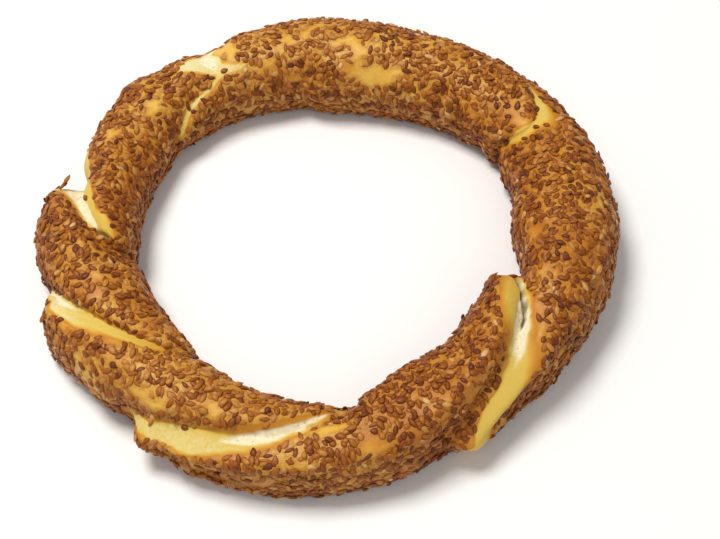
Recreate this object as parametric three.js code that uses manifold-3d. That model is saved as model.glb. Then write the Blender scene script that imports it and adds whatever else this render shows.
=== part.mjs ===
import * as THREE from 'three';
import { ParametricGeometry } from 'three/addons/geometries/ParametricGeometry.js';
import { mergeVertices } from 'three/addons/utils/BufferGeometryUtils.js';
import Module from 'manifold-3d';

// A simit: two strands of dough twisted together, closed to a ring, dipped in grape molasses, rolled in
// sesame and baked lying flat. It is one solid, with the largest of its seeds as part of it.
//
// Lengths are in millimetres and angles in degrees. The ring angle runs counter-clockwise seen from above,
// from +X. The section angle runs round the dough: 0 on the outer side, 90 on the crest, 180 on the inner
// side at the hole, 270 in the middle of the flat underside.

// ---- the ring ----
const RING_RADIUS = 69;              // from the ring's centre to the middle of the dough
const RING_WAVES = [                 // how the hand-shaped ring departs from a circle
  { perTurn: 2, size: 1.75, peak: 31 },
  { perTurn: 3, size: 1.85, peak: 19 },
  { perTurn: 4, size: 0.6, peak: 11 },
  { perTurn: 5, size: 0.6, peak: -24 },
];
const HALF_WIDTH = 13.4;             // half the width of the twisted dough
const WIDTH_WAVES = [                // where it is fatter and leaner
  { perTurn: 1, size: 0.4, peak: 0 },
  { perTurn: 2, size: 0.8, peak: 12 },
  { perTurn: 3, size: 1.0, peak: -31 },
  { perTurn: 4, size: 0.35, peak: 0 },
];
const HEIGHT_SHARE = 1.76;           // height of the dough over its half width
const CENTRE_SHARE = 0.44;           // height of the section's centre over the whole height
const FLATTEN = 1.6;                 // how far the lower half would reach below the tray, over that height

// ---- the seams between the strands ----
// at: ring angle where the seam crosses the crest.
// lean: how far round the ring it runs from there down to the outer and to the inner side.
// bow: how far it bows off that course on the way, towards counter-clockwise outside and back inside.
// deep: depth of its valley at the outer side, at the crest and at the inner side.
// upper: which strand lies on top, and changesAt the section angle past which it is the other one.
// edge: width of the steep slope down from the upper strand.
// shoulder: extra width of the bare slope where the lower strand comes out from under it, at the same
// three places as deep.
// proud: how far the upper strand stands out along the seam, on the outer and on the inner side.
// swell: how far the lower strand swells out beyond its shoulder, on the outer side.
// torn: whether the crust has split open along it.
// bare: width of the seedless dough on its clockwise and on its counter-clockwise side.
const CLOCKWISE = 0;
const COUNTER = 1;
const SEAMS = [
  {
    at: 29, lean: [-21, 2], bow: 2, deep: [0.5, 1.4, 2.5], upper: COUNTER, edge: 2, shoulder: [1, 2, 1],
    proud: [0, 0.1], swell: 0, torn: false, bare: [4, 0.5],
  },
  {
    at: 80, lean: [21, 19], bow: 0, deep: [1, 0.4, 1.4], upper: CLOCKWISE, edge: 2.2, shoulder: [1, 1, 1],
    proud: [0, 0.5], swell: 0, torn: false, bare: [0, 0],
  },
  {
    at: 119.5, lean: [8, 24], bow: 8, deep: [3, 1.2, 1.3], upper: CLOCKWISE, edge: 2.2, shoulder: [5, 3, 1],
    proud: [0.2, 0.3], swell: 0, torn: true, bare: [2, 3],
  },
  {
    at: 182, lean: [14, 9], bow: -7.5, deep: [7.4, 4.6, 3], upper: COUNTER, changesAt: 108, edge: 3,
    shoulder: [9, 4, 1], proud: [2.7, 0], swell: 0, torn: true, bare: [7, 2],
  },
  {
    at: 217.5, lean: [23, 15], bow: -1, deep: [3.4, 2.5, 2], upper: CLOCKWISE, edge: 2.2,
    shoulder: [1.5, 2, 1.5], proud: [0, 0], swell: 2.2, torn: true, bare: [1, 5],
  },
  {
    at: 266, lean: [38, 14], bow: 7, deep: [3, 3.2, 3.2], upper: CLOCKWISE, edge: 3.6, shoulder: [5, 4, 2],
    proud: [0, 0], swell: 1.8, torn: true, bare: [3, 8],
  },
  {
    at: 327, lean: [35, 16], bow: 4.5, deep: [2.5, 4, 7.4], upper: CLOCKWISE, edge: 3.2,
    shoulder: [6, 4, 1.5], proud: [0.6, 2.4], swell: 2.4, torn: true, bare: [4, 8],
  },
];
const CHANGE_SPAN = 30;              // section angle over which the upper strand changes
const SHOULDER_BASE = 3;             // width of the shoulder's slope before the extra
const BULGE = { offset: 5.5, width: 4.5 };
const SWELL = { offset: 2, width: 5 };

// ---- where the hand-rolled dough stands out or lies in ----
// Each row: ring angle, section angle, half length along the ring, half width round the dough, height.
const LUMPS = [
  [350, 185, 6, 12, -3], [2, 183, 7, 10, 1.2], [24, 197, 4, 8, 1], [38, 205, 4, 8, -1.3],
  [108, 48, 10, 12, -1], [122, 40, 5, 12, -1.5], [140, 35, 6, 12, 2.4], [155, 30, 5, 10, -1.3],
  [167.5, 20, 4, 14, -2], [169, 40, 3, 9, -1.6], [172.5, 58, 3, 7, -1.5], [173.3, 16, 2.5, 8, -1],
  [181, 10, 4, 10, 0.8],
  [193, 0, 5.5, 12, -2.2], [199.3, -3, 3.7, 12, -2.9], [205.5, -12, 4.5, 10, 1.4], [210, -20, 7, 10, 1.5],
  [226.5, -28, 4, 12, -1.2], [235.5, -8, 4.2, 12, 2.5], [245, -12, 4, 9, 1.2],
  [269, 150, 7, 12, -1.2], [274.5, 163, 4, 10, -1.8], [281, 143, 3, 9, 1.1], [291, 155, 6, 12, 1.2],
  [299.8, -3, 5, 14, 2.8], [305, -8, 4, 12, 0.6], [315.5, -22, 6, 12, -1.3],
  [311, 158, 6, 12, -1.5], [327, 156, 4, 10, 0.8], [331, 167, 4, 9, -0.8],
];

// ---- the solid ----
const COLUMN_STEP = 3.3;             // spacing of the sections round the ring
const SECTION_SIDES = 22;

// ---- the seeds ----
const SEED = { long: 3.4, wide: 2.1, thick: 1.7, proud: 0.75 };
const SEED_TAPER = 0.3;              // how much leaner the pointed end is than the middle
const SEED_SIZES = [0.95, 1.15];
const SEED_COUNT = 106;
const SEED_SPACING = 11;
const SEED_BAND = [-12, 192];        // section angles between which the seeds lie
const SEED_FACETS = { round: 5, along: 4 };
const SEED_DRAWS = 6000;

const TURN = 2 * Math.PI;
const { degToRad, smoothstep, lerp, clamp, euclideanModulo } = THREE.MathUtils;

function waves(angle, rows) {
  return rows.reduce((sum, w) => sum + w.size * Math.cos(w.perTurn * (angle - degToRad(w.peak))), 0);
}

// A value given at the outer side, the crest and the inner side, blended for a place in between.
function across([outer, crest, inner], quarter) {
  return quarter < 0
    ? lerp(crest, outer, smoothstep(-quarter, 0, 1))
    : lerp(crest, inner, smoothstep(quarter, 0, 1));
}

function signedTurn(angle) {
  return euclideanModulo(angle + Math.PI, TURN) - Math.PI;
}

// How a seam runs across the dough, where side goes from -1 on the outer side to 1 on the inner one.
function seamCurve({ lean, bow }) {
  const [outer, inner] = lean.map(degToRad);
  return { turn: (outer + inner) / 2, bend: (inner - outer) / 2, bow: degToRad(bow) };
}

// Ring angle of a seam past its own at.
function seamOffset({ turn, bend, bow }, side) {
  return turn * side + bend * side ** 2 + bow * (side ** 3 - side);
}

function seamSlope({ turn, bend, bow }, side) {
  return turn + 2 * bend * side + bow * (3 * side ** 2 - 1);
}

// Distance over the crust from a seam, positive counter-clockwise of it.
function seamDistance(seam, ring, section, radius, half) {
  const side = -Math.cos(section);
  const curve = seamCurve(seam);
  const at = degToRad(seam.at) + seamOffset(curve, side);
  const slope = seamSlope(curve, side) * Math.sin(section);
  const reach = radius + half * Math.cos(section);
  return signedTurn(ring - at) * reach / Math.hypot(1, slope * reach / half);
}

// A smooth hump of height 1 round 0.
function hump(away, width) {
  return Math.exp(-((away / width) ** 2));
}

// The hump on one side of a seam, which changes sides with the upper strand.
function humpBeside(away, offset, width, counter) {
  return lerp(hump(away - offset, width), hump(away + offset, width), counter);
}

// 1 where the counter-clockwise strand of a seam lies on top, 0 where the clockwise one does.
function counterUppermost({ upper, changesAt = 360 }, section) {
  const start = degToRad(changesAt - CHANGE_SPAN / 2);
  const end = degToRad(changesAt + CHANGE_SPAN / 2);
  return lerp(upper, 1 - upper, smoothstep(section, start, end));
}

// How far the crust stands out (or lies in) from the plain section because of the strands: a valley along
// each seam, steep where it comes down from the upper strand and slow on the lower one's shoulder, the
// bulge of the upper strand beside it, and the swell of the lower strand beyond its shoulder.
function strandRelief(ring, section, radius, half) {
  const quarter = (section - Math.PI / 2) / (Math.PI / 2);
  const outside = smoothstep(-quarter, 0.1, 0.9);
  const fade = 1 - smoothstep(Math.abs(quarter), 1.25, 1.7);
  let relief = 0;
  for (const seam of SEAMS) {
    const away = seamDistance(seam, ring, section, radius, half);
    const counter = counterUppermost(seam, section);
    const slow = SHOULDER_BASE + across(seam.shoulder, quarter);
    const slope = away < 0 ? lerp(seam.edge, slow, counter) : lerp(slow, seam.edge, counter);
    const valley = across(seam.deep, quarter) * Math.exp(-Math.pow(Math.abs(away) / slope, 1.6));
    const upperHump = humpBeside(-away, BULGE.offset, BULGE.width, counter);
    const lowerHump = humpBeside(away, slow + SWELL.offset, SWELL.width, counter);
    const bulge = lerp(seam.proud[1], seam.proud[0], outside) * upperHump;
    const swell = seam.swell * outside * lowerHump;
    relief += fade * (bulge + swell - valley);
  }
  return relief;
}

// How far the crust stands out in its lumps.
function lumpRelief(ring, section, radius, half) {
  const reach = radius + half * Math.cos(section);
  return LUMPS.reduce((sum, [at, on, long, wide, height]) => {
    const along = signedTurn(ring - degToRad(at)) * reach;
    const around = signedTurn(section - degToRad(on)) * half;
    return sum + height * hump(along, long) * hump(around, wide);
  }, 0);
}

// The point of the crust at a ring angle and a section angle. The lower half is pressed flat at height 0.
function crustPoint(ring, section, target = new THREE.Vector3()) {
  const radius = RING_RADIUS + waves(ring, RING_WAVES);
  const half = HALF_WIDTH + waves(ring, WIDTH_WAVES);
  const height = half * HEIGHT_SHARE;
  const centre = height * CENTRE_SHARE;
  const relief = strandRelief(ring, section, radius, half) + lumpRelief(ring, section, radius, half);
  const rise = Math.sin(section);
  const lift = rise > 0 ? rise * (height - centre + relief) : rise * (FLATTEN * centre + relief);
  const reach = radius + (half + relief) * Math.cos(section);
  return target.set(reach * Math.cos(ring), reach * Math.sin(ring), Math.max(lift, -centre) + centre);
}

function crustNormal(ring, section) {
  const step = 1e-3;
  const along = crustPoint(ring + step, section).sub(crustPoint(ring - step, section));
  const around = crustPoint(ring, section + step).sub(crustPoint(ring, section - step));
  return along.cross(around).normalize();
}

// The grid of the solid follows the torn seams, so that each has a line of edges along its valley: the
// columns between two seams lean the way those two seams do.
const torn = SEAMS.filter((seam) => seam.torn);
const fields = torn.map((seam, i) => {
  const next = torn[(i + 1) % torn.length];
  const span = degToRad(euclideanModulo(next.at - seam.at, 360));
  const columns = Math.round(span * RING_RADIUS / COLUMN_STEP);
  return { start: degToRad(seam.at), span, columns, from: seamCurve(seam), to: seamCurve(next) };
});
const COLUMNS = fields.reduce((sum, field) => sum + field.columns, 0);

function gridPoint(u, v, target) {
  let column = u * COLUMNS;
  let field = fields[0];
  for (field of fields) {
    if (column <= field.columns) break;
    column -= field.columns;
  }
  const share = Math.min(column / field.columns, 1);
  const section = (v - 0.25) * TURN;
  const side = -Math.cos(section);
  const blend = smoothstep(share, 0, 1);
  const offset = lerp(seamOffset(field.from, side), seamOffset(field.to, side), blend);
  crustPoint(field.start + share * field.span + offset, section, target);
}

// Random draws that come out the same every time.
function seededDraws(seed) {
  let state = seed;
  return () => {
    state = (Math.imul(state, 1664525) + 1013904223) >>> 0;
    return state / 4294967296;
  };
}

function isBare(ring, section) {
  const radius = RING_RADIUS + waves(ring, RING_WAVES);
  const half = HALF_WIDTH + waves(ring, WIDTH_WAVES);
  return SEAMS.some((seam) => {
    const away = seamDistance(seam, ring, section, radius, half);
    return away > -seam.bare[0] - SEED.wide / 2 && away < seam.bare[1] + SEED.wide / 2;
  });
}

// One sesame seed: a flattened drop with its point at +X, lying in the XY plane.
function seedGeometry() {
  const geometry = new THREE.SphereGeometry(1, SEED_FACETS.round, SEED_FACETS.along).rotateZ(-Math.PI / 2);
  const place = geometry.getAttribute('position');
  for (let i = 0; i < place.count; i += 1) {
    const lean = 1 - SEED_TAPER * clamp(place.getX(i), 0, 1);
    place.setY(i, place.getY(i) * lean);
    place.setZ(i, place.getZ(i) * lean);
  }
  return geometry.scale(SEED.long / 2, SEED.wide / 2, SEED.thick / 2);
}

// Seeds half sunk in the crust, spread evenly over it, none on torn dough or on the underside.
function seedPlaces() {
  const draw = seededDraws(20);
  const places = [];
  for (let i = 0; i < SEED_DRAWS && places.length < SEED_COUNT; i += 1) {
    const ring = draw() * TURN;
    const section = degToRad(lerp(...SEED_BAND, draw()));
    const heading = draw() * TURN;
    const size = lerp(...SEED_SIZES, draw());
    const point = crustPoint(ring, section);
    const crowded = places.some((other) => other.point.distanceTo(point) < SEED_SPACING);
    if (crowded || isBare(ring, section)) continue;
    places.push({ point, normal: crustNormal(ring, section), heading, size });
  }
  return places;
}

function placedSeed(shape, { point, normal, heading, size }) {
  const up = new THREE.Vector3(0, 0, 1);
  const turned = new THREE.Quaternion().setFromAxisAngle(up, heading);
  turned.premultiply(new THREE.Quaternion().setFromUnitVectors(up, normal));
  const centre = point.clone().addScaledVector(normal, SEED.proud - SEED.thick * size / 2);
  const placing = new THREE.Matrix4().compose(centre, turned, new THREE.Vector3().setScalar(size));
  return shape.clone().applyMatrix4(placing);
}

// ---- joining the seeds to the dough ----
const wasm = await Module();
wasm.setup();

function toSolid(geometry) {
  const bare = geometry.clone();
  bare.deleteAttribute('normal');
  bare.deleteAttribute('uv');
  const merged = mergeVertices(bare, 1e-4);
  return new wasm.Manifold(new wasm.Mesh({
    numProp: 3,
    vertProperties: new Float32Array(merged.getAttribute('position').array),
    triVerts: new Uint32Array(merged.getIndex().array),
  }));
}

// The largest connected piece of a mesh, without scraps and sealed hollows.
function largestPiece(mesh) {
  const parent = Array.from({ length: mesh.numVert }, (_, i) => i);
  const root = (i) => {
    while (parent[i] !== i) {
      parent[i] = parent[parent[i]];
      i = parent[i];
    }
    return i;
  };
  const corners = mesh.triVerts;
  for (let i = 0; i < corners.length; i += 3) {
    parent[root(corners[i])] = root(corners[i + 1]);
    parent[root(corners[i + 1])] = root(corners[i + 2]);
  }
  const counts = new Map();
  for (let i = 0; i < corners.length; i += 3) {
    const piece = root(corners[i]);
    counts.set(piece, (counts.get(piece) ?? 0) + 1);
  }
  const largest = [...counts].reduce((best, entry) => (entry[1] > best[1] ? entry : best))[0];
  return Array.from(corners).filter((_, i) => root(corners[i - i % 3]) === largest);
}

const crust = new ParametricGeometry(gridPoint, COLUMNS, SECTION_SIDES);
const seed = seedGeometry();
let solid = toSolid(crust);
for (const place of seedPlaces()) {
  solid = solid.add(toSolid(placedSeed(seed, place)));
}
const joined = solid.getMesh();

const geometry = new THREE.BufferGeometry();
geometry.setAttribute('position', new THREE.BufferAttribute(new Float32Array(joined.vertProperties), 3));
geometry.setIndex(largestPiece(joined));

// The origin is in the middle of the object's box, on the surface it lies on.
geometry.computeBoundingBox();
const middle = geometry.boundingBox.getCenter(new THREE.Vector3());
geometry.translate(-middle.x, -middle.y, -geometry.boundingBox.min.z);
geometry.computeVertexNormals();

const bakedCrust = new THREE.MeshStandardMaterial({ color: '#a56a33', roughness: 0.5, metalness: 0 });
const ring = new THREE.Mesh(geometry, bakedCrust);
ring.name = 'simit_ring';

const simit = new THREE.Group();
simit.name = 'simit';
simit.add(ring);

export default simit;
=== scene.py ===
"""A simit: two strands of dough twisted together, closed to a ring, dipped in grape molasses, rolled in
sesame and baked lying flat.

The dough is one surface over two angles. The ring angle runs counter-clockwise seen from above, from +X.
The section angle runs round the dough: 0 on the outer side, 90 on the crest, 180 on the inner side at the
hole and 270 in the middle of the flat underside. The seeds are meshes of their own, laid on that surface.

The tables and the shape functions are in millimetres, and MM turns them to metres.
"""

import math
from functools import lru_cache, partial
from itertools import product
from typing import NamedTuple

import bpy
import numpy as np
from bpy.props import FloatProperty, FloatVectorProperty, PointerProperty
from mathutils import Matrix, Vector, kdtree


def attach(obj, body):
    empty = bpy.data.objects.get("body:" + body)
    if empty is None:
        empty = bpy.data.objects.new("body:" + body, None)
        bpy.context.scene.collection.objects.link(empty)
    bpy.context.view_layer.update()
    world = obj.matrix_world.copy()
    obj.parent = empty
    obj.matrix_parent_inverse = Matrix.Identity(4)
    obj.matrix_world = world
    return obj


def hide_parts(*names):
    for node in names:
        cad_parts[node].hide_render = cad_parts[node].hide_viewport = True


bl_info = {
    "name": "Simit",
    "version": (1, 0, 0),
    "blender": (4, 5, 0),
    "location": "3D View > Sidebar > Simit",
    "description": "A ring of twisted, torn dough in toasted sesame, with its scorched underside",
    "category": "Add Mesh",
}

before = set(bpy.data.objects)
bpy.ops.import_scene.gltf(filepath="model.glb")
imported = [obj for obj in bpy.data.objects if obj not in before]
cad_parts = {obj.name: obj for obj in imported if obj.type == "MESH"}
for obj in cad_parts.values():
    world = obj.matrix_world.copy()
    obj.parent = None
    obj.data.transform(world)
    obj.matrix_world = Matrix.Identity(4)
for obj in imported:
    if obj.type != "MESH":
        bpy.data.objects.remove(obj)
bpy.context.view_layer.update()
NODE = "simit_ring"
BODY = "root"

MM = 0.001
TURN = 2 * np.pi

# ---- the ring ----
RING_CENTRE = (-0.92, 1.08)  # of the ring, from the middle of its box
RING_RADIUS = 69.0  # from the ring's centre to the middle of the dough
HALF_WIDTH = 13.4  # of the twisted dough
RING_WAVES = ((2, 1.75, 31), (3, 1.85, 19), (4, 0.6, 11), (5, 0.6, -24))  # per turn, size, peak in degrees
WIDTH_WAVES = ((1, 0.4, 0), (2, 0.8, 12), (3, 1.0, -31), (4, 0.35, 0))
HEIGHT_SHARE = 1.76  # height of the dough over its half width
CENTRE_SHARE = 0.44  # height of the section's centre over the whole height
FLATTEN = 1.6  # how far the lower half would reach below the tray, over that height
BASE_LIFT = 0.35  # of the dough off the tray, on the seeds pressed into it
BASE_ROUND = 0.9  # how softly the sides turn into the flat underside


# ---- the seams between the strands ----

class Seam(NamedTuple):
    """One seam. A value for three places is given at the outer side, at the crest and at the inner side."""
    at: float  # ring angle where it crosses the crest
    lean: tuple  # how far round the ring it runs from there to the outer and to the inner side
    bow: float  # how far it bows off that course on the way
    deep: tuple  # depth of its valley at the three places
    edge: float  # width of the steep slope down from the upper strand
    shoulder: tuple  # extra width of the lower strand's bare slope at the three places
    proud: tuple  # how far the upper strand stands out on the outer and on the inner side
    tuck: tuple  # how far the upper strand's lip hangs over the valley at the three places
    rims: tuple  # width of the bare dough's amber rim on its two sides, over the usual width
    # The bare dough. A row has a section angle, the ring angles past the seam between which the dough is
    # bare, those between which its crumb shows, and how pale it is.
    tear: tuple = ()
    shaded_rift: tuple = ()  # the gap at its bottom, sunk and painted dark as shade: section angle, ring angle past the seam, width
    swell: float = 0  # how far the lower strand swells out past its shoulder on the outer side
    counter: int = 0  # whether the counter-clockwise strand lies on top
    changes: float = 360  # section angle past which the other one does


SEAMS = {
    "join": Seam(
        at=29, lean=(-21, 2), bow=2, deep=(0.5, 1.4, 2.5), counter=1,
        edge=2.0, shoulder=(1, 2, 1), proud=(0, 0.1), tuck=(0.3, 0.6, 0.5), rims=(0.9, 0.2),
        tear=(
            (20, -1.4, -0.6, 0, 0, 0.7), (40, -2.4, 0.2, 0, 0, 0.88), (54, -2.9, 0.3, 0, 0, 0.92),
            (59, -3.8, 0.3, 0, 0, 0.93), (62, -6.4, 0.2, 0, 0, 0.93), (65, -8.2, 0.1, 0, 0, 0.93),
            (71, -8.2, 0, 0, 0, 0.93), (82, -6.8, -0.4, 0, 0, 0.92), (92, -4.6, -0.2, 0, 0, 0.9),
            (104, -2.4, 1.2, 0, 0, 0.88), (115, -2.4, 2.2, 0, 0, 0.86), (126, -2.8, 2.2, 0, 0, 0.86),
            (138, -2.6, 1.2, 0, 0, 0.84), (150, -1.8, 0.4, 0, 0, 0.8), (162, -1.4, 0.4, 0, 0, 0.75),
            (180, 0.6, 1.6, 0, 0, 0.6),
        ),
    ),
    "back": Seam(
        at=80, lean=(21, 19), bow=0, deep=(1.0, 0.4, 1.4),
        edge=2.2, shoulder=(1, 1, 1), proud=(0, 0.5), tuck=(0, 0, 0), rims=(1.0, 1.0),
    ),
    "far": Seam(
        at=119.5, lean=(8, 24), bow=8, deep=(3.0, 1.2, 1.3),
        edge=2.2, shoulder=(5, 3, 1), proud=(0.2, 0.3), tuck=(0.3, 0.2, 0.2), rims=(0.3, 0.4),
        tear=(
            (-20, 0, 0, 0, 0, 0.4), (10, 0, 3, 1, 1, 0.7), (40, 0.8, 6, 1, 3, 0.92), (58, 2, 8, 2.4, 5, 0.95),
            (66, 2.8, 11, 3.2, 6.4, 0.98), (73, 2, 12.8, 2.8, 6.6, 1), (80, 0.8, 12.8, 2, 6.4, 1),
            (89, -0.4, 10.4, 1.2, 5, 1), (96, -1.8, 7.8, 0.4, 3, 0.98), (103, -4, 5.2, -1, 1.2, 0.97),
            (109, -6.4, 1.4, -3, -1.4, 0.96), (113, -9, -0.8, -5.4, -4, 0.96),
            (117, -13, -2.2, -10, -8, 0.96), (121, -14.2, -3.6, -10, -10, 0.95),
            (123, -13.4, -4, -8, -8, 0.94), (125, -6.8, -4.2, -5, -5, 0.93), (129, -7.2, -4.2, -5, -5, 0.93),
            (132, -7, -2.6, -5, -5, 0.94), (134.5, -6.8, 0.6, -3, -3, 0.95),
            (137.5, -5.4, 2.8, -1, -1, 0.96), (141, -2.8, 2.4, 0, 0, 0.96), (146, -2.2, 0.9, -1, -1, 0.95),
            (151, -3, -0.2, -2, -2, 0.94), (157, -4, -0.4, -2, -2, 0.93), (163, -4.2, -0.4, -2, -2, 0.9),
            (168, -3.2, -0.8, -2, -2, 0.85), (173, -1.6, -1.6, -2, -2, 0.7),
        ),
    ),
    "left": Seam(
        at=182, lean=(14, 9), bow=-7.5, deep=(7.4, 4.6, 3.0), counter=1, changes=108,
        edge=3.0, shoulder=(9, 4, 1), proud=(2.7, 0), tuck=(0, 0, 1.2), rims=(0.35, 0.35),
        shaded_rift=((106, -1.1, 0), (113, -1.2, 1.1), (122, -1.6, 1.4), (132, -2, 0.8), (150, -2.2, 0)),
        tear=(
            (-30, -5.8, 0.2, 0, 0, 0.6), (0, -9, 4, 0, 1.5, 0.85), (20, -10.4, 4.4, 0, 3, 0.9),
            (41, -10.8, 4.4, 0.9, 3.2, 0.92), (50, -10.4, 4.4, -0.2, 3.4, 0.92),
            (58, -10, 4.2, -1.4, 3.4, 0.92), (66, -9.6, 3.6, -2.6, 2.6, 0.92),
            (74, -9.8, 2.6, -3.6, 1.8, 0.92), (83, -10, 1.8, -4.4, 0.8, 0.92),
            (92, -10.1, 0.6, -5.3, -0.4, 0.9), (98, -9.4, -0.4, -5.2, -1.6, 0.9),
            (105, -7.8, -1.2, -3.8, -2, 0.88), (112, -7.3, -1.6, -2.8, -2.2, 0.86),
            (118, -7, -1.8, -2.2, -2.2, 0.85), (125, -6.2, -1.9, -2.2, -2.2, 0.8),
            (131, -4.2, -2.2, -2, -2, 0.7), (140, -2.4, -2.4, -2, -2, 0.5),
        ),
    ),
    "second": Seam(
        at=217.5, lean=(23, 15), bow=-1, deep=(3.4, 2.5, 2.0),
        edge=2.2, shoulder=(1.5, 2, 1.5), proud=(0, 0), swell=2.2, tuck=(1.0, 0.8, 0.5), rims=(0.4, 0.35),
        tear=(
            (-30, 0, 1.5, 0, 0, 0.8), (0, 0.8, 3.4, 1, 1.6, 0.9), (15, 1.4, 4.4, 1.8, 2.8, 0.95),
            (28, 1.2, 5.6, 1.8, 3.6, 0.98), (38, 0.9, 7.4, 1.6, 3.8, 0.97), (47, 0.7, 8.6, 1.8, 3.2, 0.95),
            (57, 0.2, 8.6, 2, 2.4, 0.93), (67, -0.5, 7.4, 2, 2, 0.92), (76, 0, 6.8, 2, 2, 0.9),
            (87, 0.2, 6.0, 2, 2, 0.88), (96, 0, 5.6, 2, 2, 0.85), (104, -0.2, 5.0, 0, 0, 0.8),
            (113, -0.4, 3.4, 0, 0, 0.7), (124, 0, 2.2, 0, 0, 0.55), (136, 0.8, 0.8, 0, 0, 0.4),
        ),
    ),
    "front": Seam(
        at=266, lean=(38, 14), bow=7, deep=(3.0, 3.2, 3.2),
        edge=3.6, shoulder=(5, 4, 2), proud=(0, 0), swell=1.8, tuck=(0.8, 0, 0.3), rims=(1.4, 0.3),
        tear=(
            (-35, -5, -4, 2.3, 2.3, 0.8), (-20, -5, -1.5, 2.9, 2.9, 0.88), (-8, -2.6, 1.6, 3, 3, 0.9),
            (2, 0.2, 4.8, 4, 4, 0.93), (8, 1.4, 6.8, 4.6, 4.6, 0.94), (11, 1.8, 10.4, 5, 5, 0.95),
            (16, 2.2, 14.4, 5.6, 5.6, 0.95), (23, 2.1, 15.9, 5.8, 5.8, 0.95), (31, 1.2, 16.2, 6.2, 6.2, 0.95),
            (37, 0.3, 15.6, 7, 7, 0.94), (42, -0.6, 14.4, 6.4, 7.9, 0.93), (48, -1.8, 12.4, 4, 8.8, 0.92),
            (55, -3.2, 10.4, 1.4, 8, 0.9), (65, -5.4, 6.8, -1.8, 5.2, 0.88), (77, -7.4, 3.4, -4.4, 2.1, 0.86),
            (85, -7.6, 1.8, -4.8, 0.6, 0.86), (91, -7.6, 0.6, -5, -0.4, 0.86),
            (99, -7.2, -0.6, -4.8, -1.6, 0.85), (107, -6.7, -1.6, -4.5, -2.3, 0.84),
            (113, -6.3, -1.9, -4.4, -2.5, 0.82), (119, -5.8, -2.1, -4.2, -2.6, 0.8),
            (128, -5.1, -2.5, -3.7, -2.9, 0.7), (135, -4.4, -3, -3.6, -3.6, 0.4),
        ),
    ),
    "right": Seam(
        at=327, lean=(35, 16), bow=4.5, deep=(2.5, 4.0, 7.4),
        edge=3.2, shoulder=(6, 4, 1.5), proud=(0.6, 2.4), swell=2.4, tuck=(1.5, 0, 0.5), rims=(0.9, 0.6),
        shaded_rift=((74, 2.4, 0), (80, 1.8, 0.8), (86, 1.2, 0.5), (94, 0.6, 0.9), (103, -0.7, 0.7),
                 (112, -1.2, 0.6), (122, -1.7, 0.8), (150, -1.8, 0.8), (170, -2, 0)),
        tear=(
            (-38, -1.6, 1, 9, 9, 0.7), (-12, 5.2, 10.5, 9, 9, 0.84), (4, 7.2, 16.4, 9, 9, 0.88),
            (18, 7.8, 19.5, 10, 10, 0.9), (28, 8.0, 19.8, 10, 10, 0.9), (38, 7.6, 18.2, 10, 10, 0.9),
            (45, 6.4, 16.4, 9.4, 11, 0.92), (50, 5.2, 14.6, 7.6, 10.6, 0.92), (56, 3.2, 12.4, 5.6, 9.6, 0.93),
            (62, 0.8, 10.6, 3, 8.2, 0.93), (67, -1.6, 9.2, 1.2, 7, 0.93), (76, -5, 6.6, -1.6, 5, 0.93),
            (84, -7.6, 5, -3.2, 3.4, 0.93), (92, -9.2, 3.6, -3.6, 2, 0.92),
            (99, -9.8, 2.6, -3, 0.6, 0.9), (107, -9.9, 1.6, -2.4, 0.2, 0.88),
            (117, -8.8, 1.1, -2.0, 0.2, 0.86), (126, -7.6, 0.5, -1.8, 0, 0.84),
            (143, -5.7, -0.6, -2, -1.2, 0.8), (165, -3.4, -1.7, -2.2, -2.1, 0.6),
        ),
    ),
}
CHANGE_SPAN = 30  # section angle over which the upper strand changes
SHOULDER_BASE = 3.0  # width of the shoulder's slope before the extra
BULGE = (5.5, 4.5)  # offset and width of the upper strand's bulge
SWELL = (2.0, 5.0)  # offset and width of the lower strand's swell
LIP_WIDTH = 6  # over which the upper strand's overhang dies away
TEAR_CLOSES = 0.3  # how fast the bare dough narrows past its last row, for each degree

# Where the hand-rolled dough stands out or lies in: ring angle, section angle, half length along the ring,
# half width round the dough, height.
LUMPS = (
    (350, 185, 6, 12, -3.0), (2, 183, 7, 10, 1.2), (24, 197, 4, 8, 1.0), (38, 205, 4, 8, -1.3),
    (108, 48, 10, 12, -1.0), (122, 40, 5, 12, -1.5), (140, 35, 6, 12, 2.4), (155, 30, 5, 10, -1.3),
    (167.5, 20, 4, 14, -2.0), (169, 40, 3, 9, -1.6), (172.5, 58, 3, 7, -1.5), (173.3, 16, 2.5, 8, -1.0),
    (181, 10, 4, 10, 0.8),
    (193, 0, 5.5, 12, -2.2), (199.3, -3, 3.7, 12, -2.9), (205.5, -12, 4.5, 10, 1.4), (210, -20, 7, 10, 1.5),
    (226.5, -28, 4, 12, -1.2), (235.5, -8, 4.2, 12, 2.5), (245, -12, 4, 9, 1.2),
    (269, 150, 7, 12, -1.2), (274.5, 163, 4, 10, -1.8), (281, 143, 3, 9, 1.1), (291, 155, 6, 12, 1.2),
    (299.8, -3, 5, 14, 2.8), (305, -8, 4, 12, 0.6), (315.5, -22, 6, 12, -1.3),
    (311, 158, 6, 12, -1.5), (327, 156, 4, 10, 0.8), (331, 167, 4, 9, -0.8),
)

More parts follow.
